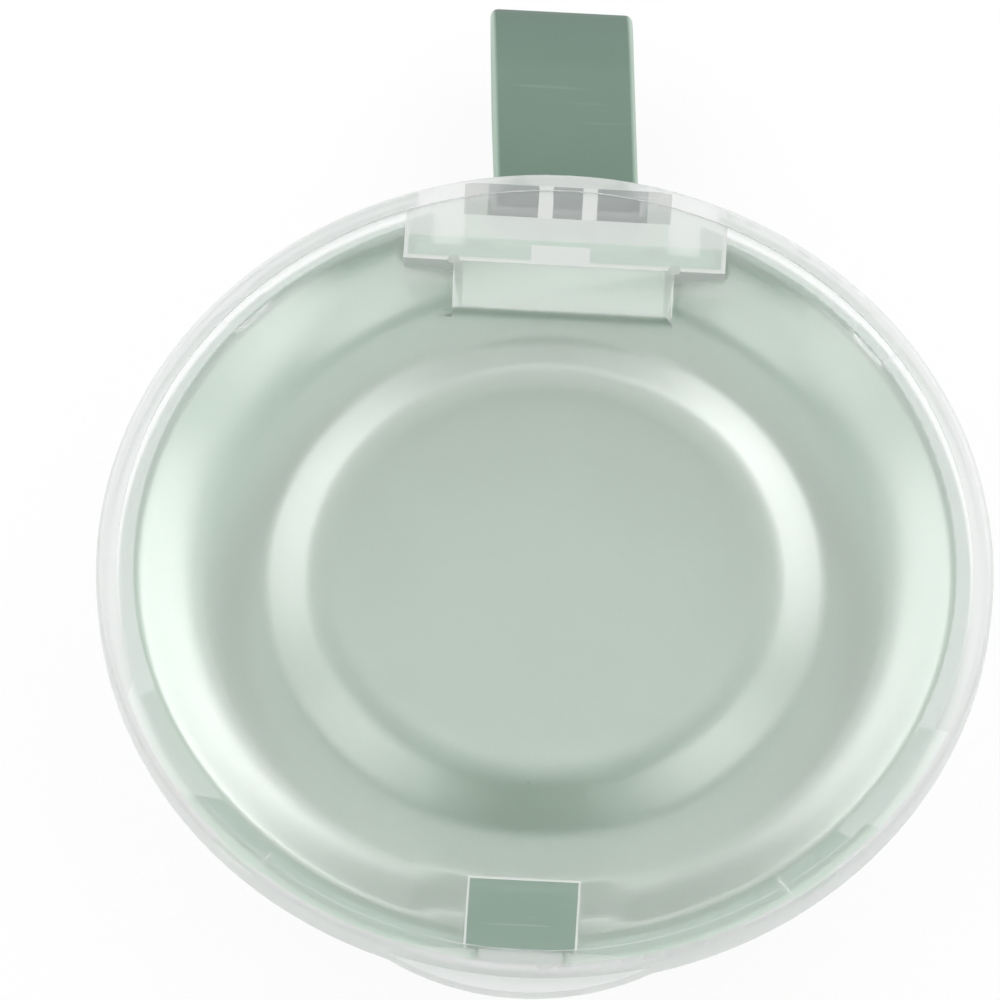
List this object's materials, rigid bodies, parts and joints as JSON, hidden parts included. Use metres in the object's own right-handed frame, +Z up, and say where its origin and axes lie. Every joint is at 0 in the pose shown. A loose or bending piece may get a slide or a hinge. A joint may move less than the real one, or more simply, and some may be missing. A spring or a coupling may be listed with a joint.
{
  "type": "wet palette",
  "caption": "Round flip-lid palette case: tapered dish with rim seal, frosted dished lid on a pinned hinge, swinging strap loop, wet sponge and sheet inside.",
  "frame": {"origin": "centre of the flat foot, on the axis of the round dish", "axes": "+Z up through the lid, +Y from the thumb lip towards the hinge and strap"},
  "size_m": [0.108, 0.1422, 0.028],
  "materials": {
    "sage_plastic": "smooth moulded sage green",
    "frosted_plastic": "frosted translucent, uncoloured",
    "seal_silicone": "matte soft sage green",
    "pin_plastic": "plain pale grey",
    "strap_silicone": "matte deep sage green",
    "sponge": "fine open cells, sage green",
    "sheet": "thin absorbent sheet, pale sage"
  },
  "bodies": {
    "base": {"base_dish": "sage_plastic", "rim_seal": "seal_silicone", "hinge_pin": "pin_plastic", "strap_bar": "pin_plastic", "sponge_pad": "sponge", "palette_sheet": "sheet"},
    "lid": {"lid_shell": "frosted_plastic"},
    "strap": {"strap_loop": "strap_silicone"}
  },
  "joints": [
    {"name": "lid_hinge", "type": "hinge", "parent": "base", "child": "lid", "pos_m": [0, 0.0492, 0.0241], "axis": [-1, 0, 0], "range_deg": [0, 110]},
    {"name": "strap_swing", "type": "hinge", "parent": "base", "child": "strap", "pos_m": [0, 0.0519, 0.011], "axis": [1, 0, 0], "range_deg": [-80, 35]}
  ]
}
